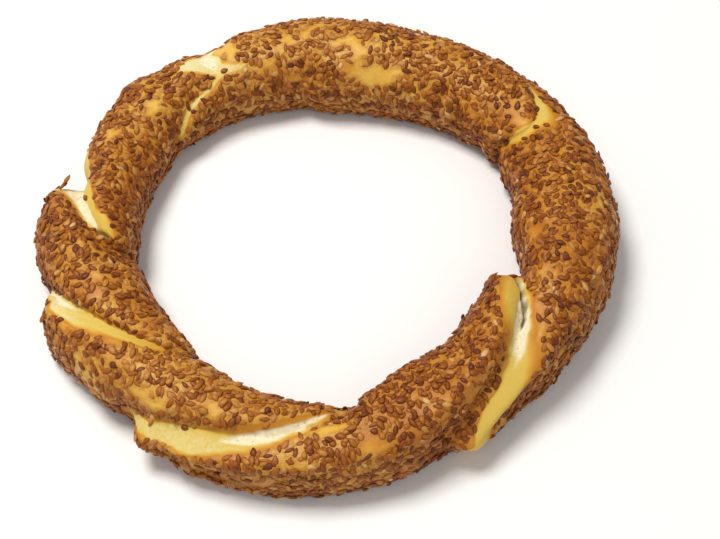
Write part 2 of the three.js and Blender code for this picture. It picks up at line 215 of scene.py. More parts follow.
# Thin and bald spots in the sesame: ring angle, section angle, half length, half width, how bald.
BALD_SPOTS = (
    (76, 139, 9, 3.2, 1.0), (100, 149, 2.5, 2, 0.9), (31.5, 114, 4.6, 2.4, 1.0), (156, 80, 4, 2, 0.9),
    (144, 107, 4, 2, 0.9), (231, 50, 4.5, 2.4, 0.9), (237, 56, 3.5, 2, 0.8), (247, 84, 4, 2, 0.9),
    (273, 85, 4, 2.6, 1.0), (280, 54, 4, 3, 0.9), (339, 97, 2.5, 4, 0.9), (83, 102, 8, 2, 0.9),
    (352, 127, 3, 3, 0.8), (4, 102, 3, 2.5, 0.7), (303, 54, 3, 2.5, 0.8), (265, 62, 3, 2, 0.6),
    (2, 55, 3, 2, 0.7), (345, 56, 3, 2.5, 0.7), (110, 128, 6, 1.6, 0.7), (92, 75, 8, 1.4, 0.7),
)

# How dark the coat baked, from 0 to 1, over the ring angle.
TOAST = (
    (0, 0.75), (30, 0.75), (55, 0.6), (72, 0.15), (105, 0), (130, 0.25), (150, 0.45), (175, 0.75),
    (192, 0.95), (207, 0.4), (235, 0.15), (265, 0.3), (285, 0.8), (310, 1), (335, 0.8), (360, 0.75),
)
TOAST_INSIDE = 0.35  # how much darker still the inner flank is

# What multiplies the share of a kind of seed, where the coat baked lightest and where it baked darkest.
DARK_GROWS = (0.15, 1.75)
BROWN_GROWS = (0.7, 1.6)
GOLDEN_SHRINKS = (0.8, 0.35)

# ---- the grid ----
COLUMNS = 760
ROWS = 130
COLUMN_CROWD = 0.6  # how much closer the columns stand at a torn seam
ROW_CROWD = 0.3  # how much closer the rows stand on the crest

# ---- the finest relief ----
BED_REACH = 2.4  # how far from a seed's discs the crust is shaped by it, or darkened by its syrup stain and its painted shadow
BED = (1.0, 0.75)  # distance from the discs to the crest of the crust round a seed, and its width
BED_HIGH = 0.2
STAIN_AND_SHADOW = (0.8, 1.9)  # distance from the discs at which the brown round a seed, part syrup stain and part painted shadow, starts to fade and is gone
WRINKLE_HIGH = 0.12
RIFT_DEEP = 1.3
DOUGH_LOW = 0.12  # least height of the dough over the tray


# ======== shared arithmetic ========

def smooth(low, high, value):
    """0 below low and 1 above high, with the curve 3x^2 - 2x^3 between them."""
    share = np.clip((value - low) / (high - low), 0, 1)
    return share * share * (3 - 2 * share)


def blend(start, end, share):
    """start + (end - start) share."""
    return start + (end - start) * share


def bell(away, width):
    """A hump of height 1 round 0: e to the power -(away / width)^2."""
    return np.exp(-(away / width) ** 2)


def waves(angle, rows):
    """The sum of cosines, each with its number per turn, its size and the degree of its peak."""
    return sum(size * np.cos(per_turn * (angle - np.radians(peak))) for per_turn, size, peak in rows)


def across(three, quarter):
    """A value given at the outer side, the crest and the inner side, blended for the quarters -1, 0 and 1."""
    outer, crest, inner = three
    return np.where(quarter < 0, blend(crest, outer, smooth(0, 1, -quarter)),
                    blend(crest, inner, smooth(0, 1, quarter)))


def hashed(cells, seed):
    """A number from -1 to 1 for each whole-numbered cell, from multiplied and folded bits of its place."""
    bits = np.full(cells.shape[:-1], seed * 2654435761 % 2**32, np.uint32)
    for axis, factor in zip(range(cells.shape[-1]), (73856093, 19349663, 83492791)):
        bits ^= cells[..., axis].astype(np.int64).astype(np.uint32) * np.uint32(factor)
    bits = (bits ^ (bits >> np.uint32(13))) * np.uint32(1274126177)
    bits ^= bits >> np.uint32(16)
    return (bits & np.uint32(65535)) / 32767.5 - 1


def cloud(points, size, seed):
    """Smooth noise from -1 to 1: hashed numbers on a lattice of that size, blended by 3x^2 - 2x^3 between."""
    place = points / size
    cell = np.floor(place)
    share = smooth(0, 1, place - cell)
    total = 0
    for corner in product((0, 1), repeat=points.shape[-1]):
        weight = np.prod(np.where(corner, share, 1 - share), axis=-1)
        total = total + weight * hashed(cell + corner, seed)
    return total


def clouds(points, *layers):
    """The sum of noises, each with its size, its share and the seed of its numbers."""
    return sum(share * cloud(points, size, seed) for size, share, seed in layers)


def unit(vectors):
    """The vectors at length 1: each over its own length."""
    return vectors / np.maximum(np.linalg.norm(vectors, axis=-1, keepdims=True), 1e-9)


def stacked(x, y, z):
    """Points or directions from their three coordinates, brought to one shape."""
    return np.stack(np.broadcast_arrays(x, y, z), axis=-1)


def wrapped(angle):
    """The same direction as an angle from -half a turn to half a turn."""
    return (angle + np.pi) % TURN - np.pi


# ======== the dough's shape ========

def half_width(ring):
    """Half the width of the dough: its mean and its waves round the ring."""
    return HALF_WIDTH + waves(ring, WIDTH_WAVES)


def ring_radius(ring):
    """From the ring's centre to the middle of the dough: its mean and its waves round the ring."""
    return RING_RADIUS + waves(ring, RING_WAVES)


def crust_reach(ring, section):
    """From the ring's axis to the plain crust: the ring's radius + half the width cos(section)."""
    return ring_radius(ring) + half_width(ring) * np.cos(section)


def quarters(section):
    """Quarter turns from the crest: -1 on the outer side, 1 on the inner one."""
    return (section - np.pi / 2) / (np.pi / 2)


def seam_curve(seam):
    """The three numbers of a seam's course over side, -1 on the outer side to 1 on the inner one."""
    outer, inner = np.radians(seam.lean)
    return (outer + inner) / 2, (inner - outer) / 2, math.radians(seam.bow)


def seam_offset(curve, side):
    """Ring angle past the seam's own: turn side + bend side^2 + bow (side^3 - side)."""
    turn, bend, bow = curve
    return turn * side + bend * side**2 + bow * (side**3 - side)


def seam_places(seam, ring, section):
    """Ring angle past the seam, the arc over the crust for each unit of it, and the seam's slope."""
    side = -np.cos(section)
    curve = seam_curve(seam)
    turn, bend, bow = curve
    past = wrapped(ring - math.radians(seam.at) - seam_offset(curve, side))
    reach = crust_reach(ring, section)
    slope = (turn + 2 * bend * side + bow * (3 * side**2 - 1)) * np.sin(section) * reach / half_width(ring)
    return past, reach / np.sqrt(1 + slope**2), slope


def counter_on_top(seam, section):
    """1 where the counter-clockwise strand of a seam lies on top, 0 where the clockwise one does."""
    start, end = np.radians(seam.changes + np.array((-CHANGE_SPAN, CHANGE_SPAN)) / 2)
    return blend(seam.counter, 1 - seam.counter, smooth(start, end, section))


def strand_relief(ring, section):
    """How far the crust stands out because of the strands: a valley along each seam, steep below the upper
    strand and slow on the lower one's shoulder, the upper strand's bulge and the lower strand's swell."""
    quarter = quarters(section)
    outside = smooth(0.1, 0.9, -quarter)
    fade = 1 - smooth(1.25, 1.7, np.abs(quarter))
    relief = 0
    for seam in SEAMS.values():
        past, arc, _ = seam_places(seam, ring, section)
        away = past * arc
        counter = counter_on_top(seam, section)
        slow = SHOULDER_BASE + across(seam.shoulder, quarter)
        edge = seam.edge
        slope = np.where(away < 0, blend(edge, slow, counter), blend(slow, edge, counter))
        valley = across(seam.deep, quarter) * np.exp(-(np.abs(away) / slope) ** 1.6)
        offset, width = BULGE
        bulge = blend(bell(away + offset, width), bell(away - offset, width), counter)
        bulge = bulge * blend(seam.proud[1], seam.proud[0], outside)
        offset, width = slow + SWELL[0], SWELL[1]
        swell = blend(bell(away - offset, width), bell(away + offset, width), counter)
        relief = relief + fade * (bulge + swell * seam.swell * outside - valley)
    return relief


def lump_relief(ring, section):
    """How far the crust stands out in its lumps: a bell over the two half sizes of each."""
    reach = crust_reach(ring, section)
    relief = 0
    for at, on, long, wide, height in LUMPS:
        along = wrapped(ring - math.radians(at)) * reach
        around = wrapped(section - math.radians(on)) * half_width(ring)
        relief = relief + height * bell(along, long) * bell(around, wide)
    return relief


def soft_floor(height, floor, softness):
    """The larger of height and floor, with the corner rounded: floor + s ln(1 + e^((height - floor) / s))."""
    return floor + softness * np.logaddexp(0, (height - floor) / softness)


def section_point(ring, section, relief):
    """The point of the dough at the two angles: a flattened circle in the upright plane of the ring angle,
    pushed out by the relief, with the lower half pressed flat."""
    half = half_width(ring)
    height = half * HEIGHT_SHARE
    centre = height * CENTRE_SHARE
    rise = np.sin(section)
    lift = np.where(rise > 0, rise * (height - centre + relief), rise * (FLATTEN * centre + relief))
    lift = soft_floor(lift + centre, BASE_LIFT, BASE_ROUND * smooth(0.7, -0.3, rise) + 0.01)
    reach = ring_radius(ring) + (half + relief) * np.cos(section)
    return stacked(reach * np.cos(ring), reach * np.sin(ring), lift)


def lip_shift(ring, section):
    """How the upper strand's lip hangs over each valley: a push across the seam that is nothing at the
    valley, full at the top of the steep slope, and dies away over the strand."""
    quarter = quarters(section)
    fade = 1 - smooth(1.0, 1.4, np.abs(quarter))
    round_ring = stacked(-np.sin(ring), np.cos(ring), 0 * ring)
    round_section = stacked(-np.sin(section) * np.cos(ring), -np.sin(section) * np.sin(ring), np.cos(section))
    shift = 0
    for seam in SEAMS.values():
        past, arc, slope = seam_places(seam, ring, section)
        counter = counter_on_top(seam, section)
        inward = past * arc * blend(-1, 1, counter)
        lip = smooth(0.2, 0.9, inward / seam.edge) * bell(np.maximum(inward, 0), LIP_WIDTH)
        push = fade * across(seam.tuck, quarter) * lip * blend(1, -1, counter)
        way = (round_ring - slope[..., None] * round_section) / np.sqrt(1 + slope**2)[..., None]
        shift = shift + push[..., None] * way
    return shift


def tear_masks(ring, section):
    """Where the dough is bare: the distance in from the edge of the nearest bare zone, how pale it is from 0
    on its amber rims to 1, how far the crumb shows, and how deep it lies in a rift, which is sunk and painted
    dark as shade."""
    plain = section_point(ring, section, 0)
    wobble = clouds(plain, (4.5, 0.45, 1), (1.8, 0.3, 2))
    inside = np.full(wobble.shape, -99.0)
    pale, crumb, shaded_rift = np.zeros((3, *wobble.shape))
    degrees = np.degrees(section)
    for seam in SEAMS.values():
        if not seam.tear:
            continue
        past, arc, _ = seam_places(seam, ring, section)
        rows = np.array(seam.tear, float).T
        start, end, crumb_start, crumb_end = (
            np.radians(np.interp(degrees, rows[0], row)) for row in rows[1:5])
        tone = np.interp(degrees, rows[0], rows[5])
        beyond = np.maximum(np.maximum(rows[0][0] - degrees, degrees - rows[0][-1]) * TEAR_CLOSES, 0)
        from_start = (past - start) * arc + wobble - beyond
        from_end = (end - past) * arc + wobble - beyond
        depth = np.minimum(from_start, from_end)
        start_rim = np.clip(-start * arc, 0.4, 3.0) * seam.rims[0]
        end_rim = np.clip(end * arc, 0.4, 3.2) * seam.rims[1]
        fade = smooth(0, start_rim, from_start) * smooth(0, end_rim, from_end)
        pale = np.where(depth > inside, fade * tone, pale)
        inside = np.maximum(inside, depth)
        width = (crumb_end - crumb_start) * arc
        deep = np.minimum((past - crumb_start) * arc, (crumb_end - past) * arc) + wobble * 0.8
        crumb = np.maximum(crumb, smooth(-0.1, 0.6, deep) * smooth(0.2, 1.0, width))
        if seam.shaded_rift:
            places, centres, widths = np.array(seam.shaded_rift, float).T
            gap = np.interp(degrees, places, widths, left=0, right=0) + 0.01
            off_rift = (past - np.radians(np.interp(degrees, places, centres))) * arc + wobble * 0.5
            shaded_rift = np.maximum(shaded_rift, bell(off_rift, gap * 0.6) * smooth(0.05, 0.5, gap))
    return inside, pale, crumb, shaded_rift


def crust_point(ring, section):
    """The finished crust at the two angles, from the strands, the lips and the dough's own lumps."""
    plain = section_point(ring, section, 0)
    above = smooth(-0.4, 0.2, np.sin(section))
    lumps = clouds(plain, (12, 0.4, 3), (5.5, 0.25, 4)) * above
    relief = strand_relief(ring, section) + lump_relief(ring, section) + lumps
    return section_point(ring, section, relief) + lip_shift(ring, section)


def crust_frame(ring, section):
    """The crust's point, its unit tangent along the ring and its unit normal, by small steps both ways."""
    step = 4e-3
    wider = 4 * step
    along = crust_point(ring + step, section) - crust_point(ring - step, section)
    around = crust_point(ring, section + wider) - crust_point(ring, section - wider)
    return crust_point(ring, section), unit(along), unit(np.cross(along, around))


# ======== the seeds ========

SEED_LONG = 3.1  # of a middling seed, as the next two
SEED_WIDE = 1.72
SEED_THICK = 0.86
SEED_RINGS = (-0.82, -0.42, 0.06, 0.5, 0.85)  # where the cross-sections stand, from the blunt end at -1
SEED_SIDES = 6
SEED_TAPER = 0.5  # how much leaner the pointed end is
SEED_VARIES = (0.74, 1.16)  # each size of a seed, over that of a middling one
SEED_HALF_GAP = 0.8  # the two discs that keep a seed's place lie this far from its middle
FLOOR_GAP = 0.02  # least height of a seed over the tray
TOP_BAND = (-34, 214)  # section angles between which seeds lie on the crust


def seed_shape():
    """One seed in a box from -1 to 1: rings of radius sqrt(1 - x^2), leaner towards the pointed end at +1,
    closed by a point at either end."""
    x = np.repeat(SEED_RINGS, SEED_SIDES)
    angle = np.tile(np.arange(SEED_SIDES) * TURN / SEED_SIDES, len(SEED_RINGS))
    radius = np.sqrt(1 - x**2) * (1 - SEED_TAPER * np.maximum(x, 0)) * 1.06
    body = np.stack((x, radius * np.cos(angle), radius * np.sin(angle)), axis=-1)
    points = np.vstack((body, (-1, 0, 0), (1, 0, 0)))
    side = np.arange(SEED_SIDES)
    beside = (side + 1) % SEED_SIDES
    starts = np.arange(len(SEED_RINGS) - 1)[:, None] * SEED_SIDES
    quads = np.stack((starts + beside, starts + SEED_SIDES + beside, starts + SEED_SIDES + side,
                      starts + side), axis=-1).reshape(-1, 4)
    last = (len(SEED_RINGS) - 1) * SEED_SIDES
    blunt = np.stack((np.full(SEED_SIDES, len(body)), beside, side), axis=-1)
    tip = np.stack((np.full(SEED_SIDES, len(body) + 1), last + side, last + beside), axis=-1)
    return points, quads, np.vstack((blunt, tip))


def spot_cover(ring, section):
    """1 on the full coat of sesame and less in each thin or bald spot, a bell over its two half sizes."""
    cover = np.ones(ring.shape)
    reach = crust_reach(ring, section)
    for at, on, long, wide, bald in BALD_SPOTS:
        along = wrapped(ring - math.radians(at)) * reach
        around = (section - math.radians(on)) * half_width(ring)
        cover = cover * (1 - bald * np.exp(-((along / long) ** 2 + (around / wide) ** 2) ** 2))
    return cover


def toasting(ring, section):
    """How dark the coat is at a place: its baking read off TOAST, and darker still on the inner flank."""
    angles, shares = np.array(TOAST, float).T
    return np.clip(np.interp(np.degrees(ring) % 360, angles, shares)
                   + TOAST_INSIDE * smooth(120, 165, np.degrees(section)), 0, 1)


def sesame_cover(ring, section, points):
    """The share of seeds kept at a place: thinner in drifting patches and on the crest, full on the flanks
    and where the coat baked dark."""
    patch = clouds(points, (8, 0.6, 11), (3.6, 0.4, 12))
    crest = bell(np.degrees(section) - 95, 40)
    baked = toasting(ring, section)
    thin = 1.5 * np.minimum(patch + blend(0.11, 0.42, baked), 0) * (1 - 0.6 * baked)
    return (1.1 - 0.08 * crest + thin) * spot_cover(ring, section)


def chosen(seeds, keep):
    """The same seeds with only the kept ones."""
    return {name: values[keep] for name, values in seeds.items()}


def seed_discs(seeds):
    """The middles of each seed's two discs, on its long axis at one distance from its place either way."""
    reach = seeds["heading"] * SEED_HALF_GAP
    return np.stack((seeds["place"] + reach, seeds["place"] - reach), axis=1)


def apart(seeds, gap):
    """The first seeds, in order, that keep their two discs a gap clear of all the seeds before them."""
    discs = seed_discs(seeds)
    tree = kdtree.KDTree(2 * len(discs))
    for index, disc in enumerate(discs.reshape(-1, 3)):
        tree.insert(disc, index)
    tree.balance()
    taken, blocked = np.zeros((2, len(discs)), bool)
    for index, pair in enumerate(discs):
        if blocked[index]:
            continue
        taken[index] = True
        near = [found[1] // 2 for disc in pair for found in tree.find_range(disc, gap)]
        blocked[near] = True
    return chosen(seeds, taken)


def seeds_at(ring, section, turn, lot):
    """Seeds on the crust, each with its long axis turned from the ring's course about the crust's normal."""
    place, along, normal = crust_frame(ring, section)
    heading = along * np.cos(turn)[:, None] + np.cross(normal, along) * np.sin(turn)[:, None]
    return {"ring": ring, "section": section, "place": place, "heading": heading, "normal": normal,
            "lot": lot}


def lay_seeds(draws, band, seed):
    """Seeds at random places and turns, as dense on the inner side as on the outer: the wider the ring at a
    place, the more of them are kept. The random numbers that remain are theirs to keep."""
    lot = np.random.default_rng(seed).random((draws, 8))
    ring = lot[:, 0] * TURN
    section = np.radians(blend(*band, lot[:, 1]))
    even = lot[:, 2] * (RING_RADIUS + HALF_WIDTH) < crust_reach(ring, section)
    return seeds_at(ring[even], section[even], lot[even, 3] * TURN, lot[even, 4:])


# Each layer of the coat: how many seeds are drawn, the gap between their discs, how high their middles lie,
# how far they tilt, how near the torn dough they come, the cover at which they begin, their share of it and
# the seed of their random numbers.
COAT = (
    (34000, 0.88, 0.06, 9, 0.15, 0.0, 1.0, 5),
    (20000, 1.0, 0.34, 16, 0.4, 0.35, 0.95, 6),
    (4200, 2.2, 0.65, 22, 0.9, 0.65, 1.2, 7),
)
STRAY_SHARE = 0.012  # of the seeds that stay on torn dough
STRAY_REACH = 1.6  # how far in from its edge they lie

# Seeds that lie alone: ring angle, section angle, heading from the ring's course, height and tilt.
LONE_SEEDS = (
    (176, 86, 40, 0.2, 5), (168, 85, 75, 0.2, 0), (170.8, 15, 124, 0.4, 27), (172.6, 40, 181, 1.3, 36),
    (172.1, 39, 193, 1.8, 47), (172.3, 41, 188, 3.4, 50), (25, 88, 210, 0.25, 5), (26, 101, 210, 0.25, 5),
    (25, 124, 225, 0.2, 0), (29, 153, 240, 0.25, 0), (31, 81, 150, 0.25, 5), (22, 107, 195, 0.3, 5),
    (124, 118, 140, 0.2, 5), (120, 117, 180, 0.2, 0), (120, 129, 130, 0.2, 0),
    (242, 39, 20, 0.2, 5), (132, 92, 160, 0.2, 0), (128, 98, 85, 0.1, 0), (183, 127, 85, 0.3, 5),
)
LONE_SHADE = 0.4  # how far from the darkest their shade goes, of 1


def coat_layer(draws, gap, lift, tilt, keep_off, begins, share, seed):
    """One layer of the coat, thinned by the cover, with none on torn dough but a few strays."""
    seeds = apart(lay_seeds(draws, TOP_BAND, seed), gap)
    inside = tear_masks(seeds["ring"], seeds["section"])[0]
    cover = sesame_cover(seeds["ring"], seeds["section"], seeds["place"])
    covered = (inside < -keep_off) & (seeds["lot"][:, 0] < (cover - begins) * share)
    stray = (seeds["lot"][:, 1] < STRAY_SHARE) & (inside < STRAY_REACH) & (cover > 0.5)
    seeds = chosen(seeds, covered | stray)
    seeds["lift"] = np.full(len(seeds["ring"]), lift)
    seeds["tilt"] = np.radians(tilt) * (seeds["lot"][:, 2] * 2 - 1)
    return seeds


def lone_seeds():
    """The seeds of LONE_SEEDS, each laid at its place and turned, lifted and tilted as its row says."""
    ring, section, turn, lift, tilt = np.array(LONE_SEEDS, float).T
    lot = np.random.default_rng(9).random((len(ring), 4)) * LONE_SHADE
    seeds = seeds_at(np.radians(ring), np.radians(section), np.radians(turn), lot)
    return {**seeds, "lift": lift, "tilt": np.radians(tilt)}


@lru_cache(maxsize=1)
def top_seeds():
    """The coat of sesame, layer on layer, and the seeds that lie alone."""
    layers = [coat_layer(*layer) for layer in COAT] + [lone_seeds()]
    seeds = {name: np.concatenate([layer[name] for layer in layers]) for name in layers[0]}
    seeds["centre"] = seeds["place"] + seeds["normal"] * seeds["lift"][:, None]
    return seeds


UNDER_DRAWS = 5200
UNDER_BAND = (222, 318)  # section angles between which they are drawn
UNDER_GAP = 1.7  # between the discs of two of them
UNDER_RISE = 0.506  # least height of the middle of a seed pressed into the underside
UNDER_REACH = 34  # section angle from the middle of the underside to its outermost seeds
UNDER_FLATTER = 0.8  # their thickness over that of the others


@lru_cache(maxsize=1)
def under_seeds():
    """Seeds that were pressed flat between the dough and the tray, with their middles just above it."""
    seeds = lay_seeds(UNDER_DRAWS, UNDER_BAND, 8)
    seeds = chosen(seeds, np.abs(np.degrees(seeds["section"]) - 270) < UNDER_REACH)
    seeds = apart(seeds, UNDER_GAP)
    patch = cloud(seeds["place"], 9, 21)
    seeds = chosen(seeds, seeds["lot"][:, 0] < 0.72 + 0.4 * patch)
    seeds["heading"] = unit(seeds["heading"] * (1, 1, 0))
    seeds["normal"] = np.tile((0.0, 0.0, 1.0), (len(seeds["heading"]), 1))
    seeds["centre"] = seeds["place"].copy()
    seeds["centre"][:, 2] = np.maximum(UNDER_RISE, seeds["place"][:, 2] + 0.1)
    seeds["tilt"] = np.zeros(len(seeds["centre"]))
    return seeds


def distance_to_nearest(points, targets, reach):
    """The distance from each point to the nearest target, up to reach: the targets are sorted by cells of
    that size, and each point looks through its own cell and the 26 round it."""
    corner = targets.min(axis=0) - 2 * reach
    counts = np.array((1 << 20, 1 << 10, 1))
    cells = np.floor((points - corner) / reach).astype(np.int64)
    target_keys = (np.floor((targets - corner) / reach).astype(np.int64) * counts).sum(axis=1)
    order = np.argsort(target_keys)
    target_keys = target_keys[order]
    nearest = np.full(len(points), float(reach))
    for offset in product((-1, 0, 1), repeat=3):
        keys = ((cells + offset) * counts).sum(axis=1)
        first = np.searchsorted(target_keys, keys, "left")
        last = np.searchsorted(target_keys, keys, "right")
        for rank in range(int((last - first).max())):
            has = np.flatnonzero(first + rank < last)
            found = targets[order[first[has] + rank]]
            nearest[has] = np.minimum(nearest[has], np.linalg.norm(points[has] - found, axis=1))
    return nearest


# ======== meshes ========

def new_object(name, points, faces, material, attributes):
    """A smooth mesh object at the origin, with its place in its mesh and a number or more for each vertex."""
    mesh = bpy.data.meshes.new(name)
    centre = np.array((*RING_CENTRE, 0))
    mesh.from_pydata((points + centre) * MM, [], faces)
    for label, values in attributes.items():
        layer = mesh.attributes.new(label, "FLOAT", "POINT")
        layer.data.foreach_set("value", values.astype(np.float32).ravel())
    mesh.shade_smooth()
    mesh.validate()
    mesh.materials.append(material)
    made = bpy.data.objects.new(name, mesh)
    bpy.context.scene.collection.objects.link(made)
    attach(made, BODY)
    return made


def crowded(count, crowd):
    """Shares from 0 to 1 that stand closer at both ends: x - crowd sin(2 pi x) / (2 pi)."""
    share = np.arange(count) / count
    return share - crowd * np.sin(TURN * share) / TURN


def dough_angles():
    """The two angles over the grid. Its columns follow the torn seams, and between two of them they lean from
    the course of one to that of the other. The rows stand closer on the crest than on the underside."""
    share = np.arange(ROWS) / ROWS
    section = (share + ROW_CROWD * np.sin(TURN * share) / TURN - 0.25) * TURN
    side = -np.cos(section)[None, :]
    followed = [seam for seam in SEAMS.values() if seam.tear]
    spans = [(after.at - seam.at) % 360 for seam, after in zip(followed, followed[1:] + followed[:1])]
    ends = np.round(np.cumsum([0] + spans) / 360 * COLUMNS).astype(int)
    columns = []
    for index, seam in enumerate(followed):
        after = followed[(index + 1) % len(followed)]
        shares = crowded(ends[index + 1] - ends[index], COLUMN_CROWD)[:, None]
        offset = blend(seam_offset(seam_curve(seam), side), seam_offset(seam_curve(after), side),
                       smooth(0, 1, shares))
        columns.append(math.radians(seam.at) + shares * math.radians(spans[index]) + offset)
    ring = np.concatenate(columns)
    return ring, np.broadcast_to(section[None, :], ring.shape)


def wrapped_grid(columns, rows):
    """The quads of a grid that closes on itself both ways, pointing outwards."""
    index = np.arange(columns * rows).reshape(columns, rows)
    right = np.roll(index, -1, axis=0)
    corners = index, right, np.roll(right, -1, axis=1), np.roll(index, -1, axis=1)
    return np.stack(corners, axis=-1).reshape(-1, 4)


def build_dough(material):
    """The crust's points with the finest relief added along its normals: a bed of crust that grips each
    seed, wrinkles, the torn crumb's pores, and the pits of the scorched underside."""
    ring, section = dough_angles()
    columns, rows = ring.shape
    ring, section = ring.ravel(), section.ravel()
    points, _, normal = crust_frame(ring, section)
    inside, pale, crumb, shaded_rift = tear_masks(ring, section)
    bare = smooth(-0.5, 0.3, inside)

    near = distance_to_nearest(points, seed_discs(top_seeds()).reshape(-1, 3), BED_REACH)
    bed = bell(near - BED[0], BED[1])
    stain_and_shadow = 1 - smooth(*STAIN_AND_SHADOW, near)

    degrees = np.degrees(section)
    under = np.clip(smooth(-8, -38, degrees + 13 * bare) + smooth(196, 218, degrees - 13 * bare), 0, 1)
    pores = clouds(points, (1.1, 0.6, 31), (2.3, 0.4, 32))
    wrinkle = cloud(points, 1.3, 33)
    pits = clouds(points, (3.0, 0.5, 34), (1.4, 0.5, 35))
    relief = (1 - bare) * (1 - under) * (BED_HIGH * bed + WRINKLE_HIGH * wrinkle)
    relief = relief + crumb * (0.3 * pores - 0.3) + bare * (1 - crumb) * 0.04 * wrinkle - RIFT_DEEP * shaded_rift
    points = points + normal * relief[:, None]
    points[:, 2] += under * 0.22 * (pits - 0.2) * smooth(2.5, 0.5, points[:, 2])
    points[:, 2] = np.maximum(points[:, 2], DOUGH_LOW)

    toast = 0.7 - 0.46 * toasting(ring, section) + clouds(points, (16, 0.4, 41), (6, 0.3, 42))
    masks = {"bare": bare, "pale": pale, "crumb": crumb, "shaded_rift": shaded_rift, "stain_and_shadow": stain_and_shadow, "under": under,
             "toast": np.clip(toast, 0, 1), "low": smooth(12, 1.5, points[:, 2])}
    made = new_object("simit_dough", points, wrapped_grid(columns, rows), material, masks)
    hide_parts(NODE)


def build_seeds(name, seeds, length, material, flatter, seed):
    """Joined seeds: each is the one shape, scaled, tilted about its side and carried into its own frame."""
    shape, quads, triangles = seed_shape()
    count = len(seeds["centre"])
    vary = np.random.default_rng(seed).random((count, 4))
    sizes = np.array((length, length * SEED_WIDE / SEED_LONG, length * SEED_THICK / SEED_LONG * flatter)) / 2
    sizes = sizes * blend(*SEED_VARIES, vary[:, :3])
    side = np.cross(seeds["normal"], seeds["heading"])
    tilt = seeds["tilt"][:, None]
    long = seeds["heading"] * np.cos(tilt) + seeds["normal"] * np.sin(tilt)
    thick = np.cross(long, side)
    axes = np.stack((long, side, thick), axis=1) * sizes[:, :, None]
    points = seeds["centre"][:, None, :] + np.einsum("pa,sac->spc", shape, axes)
    starts = (np.arange(count) * len(shape))[:, None, None]
    faces = (quads + starts).reshape(-1, 4).tolist() + (triangles + starts).reshape(-1, 3).tolist()
    points[:, :, 2] += np.maximum(FLOOR_GAP - points[:, :, 2].min(axis=1), 0)[:, None]
    tone = np.repeat(vary[:, 3], len(shape))
    tip = np.tile(shape[:, 0] * 0.5 + 0.5, count)
    new_object(name, points.reshape(-1, 3), faces, material, {"tone": tone, "tip": tip})


# ======== materials ========

MIX_A, MIX_B, MIX_RESULT = 6, 7, 2  # the colour sockets of a Mix node


def linear(colour):
    """Linear light, red, green and blue, of an sRGB hex colour."""
    parts = [int(colour[i:i + 2], 16) / 255 for i in (1, 3, 5)]
    return tuple(c / 12.92 if c <= 0.04045 else ((c + 0.055) / 1.055) ** 2.4 for c in parts)


def opaque(colour):
    """A colour socket's value for an sRGB hex colour or for linear red, green and blue."""
    return (*(linear(colour) if isinstance(colour, str) else colour), 1)


def add_node(tree, kind, inputs=(), output=0, stops=(), **settings):
    """Adds a node with its settings and gives back one of its outputs. The inputs, in order or by name, are
    values or the outputs they are linked to, and the stops are those of its colour ramp."""
    node = tree.nodes.new("ShaderNode" + kind)
    for name, value in settings.items():
        setattr(node, name, value)
    for name, value in inputs.items() if isinstance(inputs, dict) else enumerate(inputs):
        socket = node.inputs[name]
        if isinstance(value, bpy.types.NodeSocket):
            tree.links.new(value, socket)
        else:
            socket.default_value = opaque(value) if isinstance(value, str) else value
    for _ in stops[2:]:
        node.color_ramp.elements.new(0.5)
    for index, (position, colour) in enumerate(stops):
        node.color_ramp.elements[index].position = position
        node.color_ramp.elements[index].color = opaque(colour)
    return node.outputs[output] if node.outputs else None


def new_material(name):
    """A material without nodes, and the function that adds one to it."""
    material = bpy.data.materials.new(name)
    material.use_nodes = True
    material.node_tree.nodes.clear()
    return material, partial(add_node, material.node_tree)


